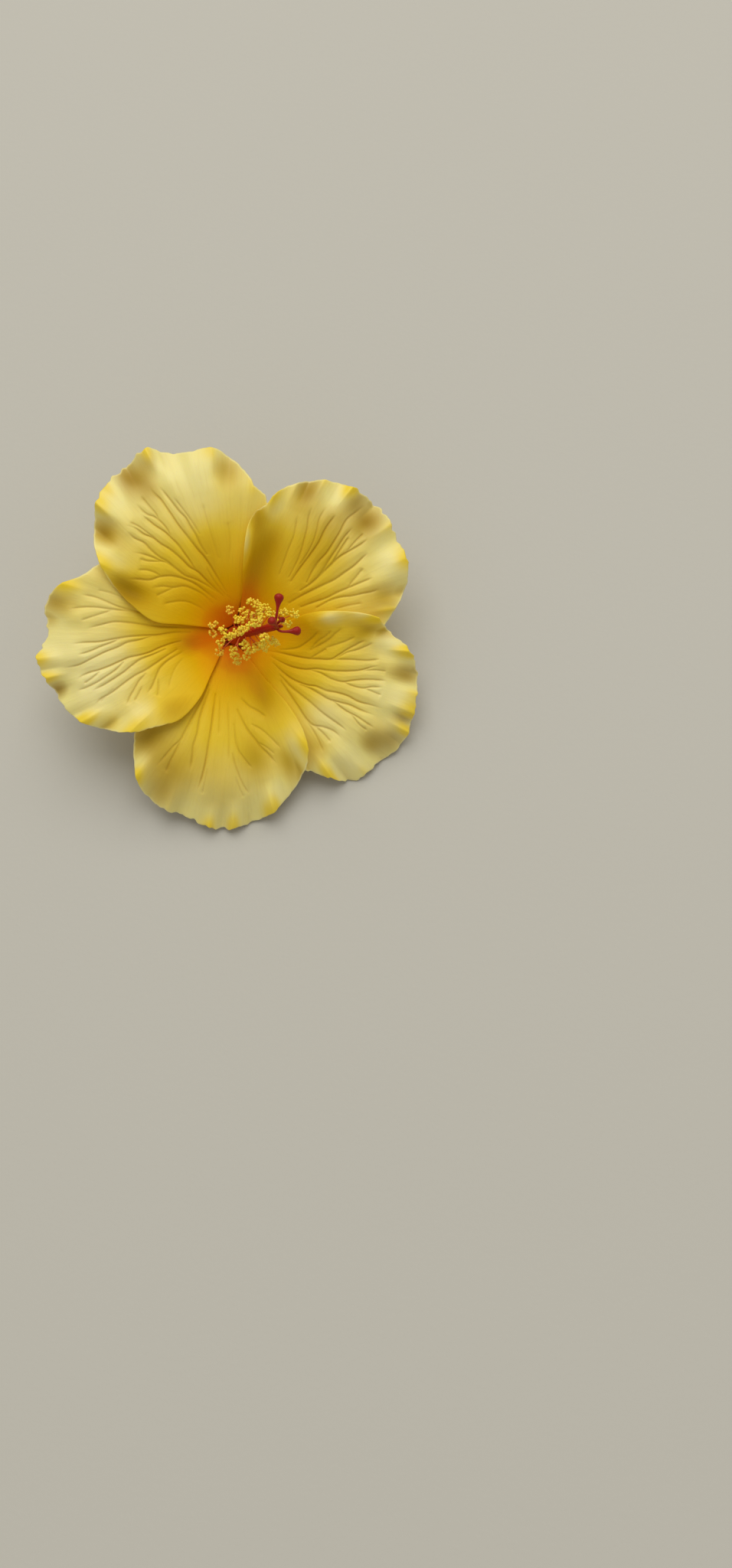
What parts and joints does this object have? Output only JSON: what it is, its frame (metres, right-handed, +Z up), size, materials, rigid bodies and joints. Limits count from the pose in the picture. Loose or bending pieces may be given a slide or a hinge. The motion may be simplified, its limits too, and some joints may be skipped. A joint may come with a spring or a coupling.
{
  "type": "hibiscus flower",
  "caption": "Open yellow hibiscus blossom with ruffled overlapping petals, a red staminal column and a short cut stalk, lying face up.",
  "frame": {"origin": "on the surface that the flower lies on, under the middle of its bounding box", "axes": "+Z up from the surface; the flower's face looks up and leans 22 degrees towards 293 degrees anticlockwise from +X, seen from above"},
  "size_m": [0.1544, 0.1458, 0.0655],
  "materials": {
    "petal": "soft matt petal, cream yellow at the rim, gold inside, orange red at the throat",
    "calyx": "matt leaf green with fine ribs",
    "column": "satin deep red, orange at the foot",
    "stamen": "orange red filament, grainy pollen yellow anther",
    "style": "velvety deep red"
  },
  "bodies": {
    "root": {"petal_upper_right": "petal", "petal_upper_left": "petal", "petal_left": "petal", "petal_lower": "petal", "petal_right": "petal", "calyx": "calyx", "bractlet_1": "calyx", "bractlet_2": "calyx", "bractlet_3": "calyx", "bractlet_4": "calyx", "bractlet_5": "calyx", "bractlet_6": "calyx", "stalk": "calyx", "staminal_column": "column", "stamen_1": "stamen", "stamen_2": "stamen", "stamen_3": "stamen", "stamen_4": "stamen", "stamen_5": "stamen", "stamen_6": "stamen", "stamen_7": "stamen", "stamen_8": "stamen", "stamen_9": "stamen", "stamen_10": "stamen", "stamen_11": "stamen", "stamen_12": "stamen", "stamen_13": "stamen", "stamen_14": "stamen", "stamen_15": "stamen", "stamen_16": "stamen", "stamen_17": "stamen", "stamen_18": "stamen", "stamen_19": "stamen", "stamen_20": "stamen", "stamen_21": "stamen", "stamen_22": "stamen", "stamen_23": "stamen", "stamen_24": "stamen", "stamen_25": "stamen", "stamen_26": "stamen", "stamen_27": "stamen", "stamen_28": "stamen", "stamen_29": "stamen", "stamen_30": "stamen", "stamen_31": "stamen", "stamen_32": "stamen", "stamen_33": "stamen", "stamen_34": "stamen", "stamen_35": "stamen", "stamen_36": "stamen", "stamen_37": "stamen", "stamen_38": "stamen", "stamen_39": "stamen", "stamen_40": "stamen", "style_1": "style", "style_2": "style", "style_3": "style", "style_4": "style", "style_5": "style"}
  },
  "joints": []
}
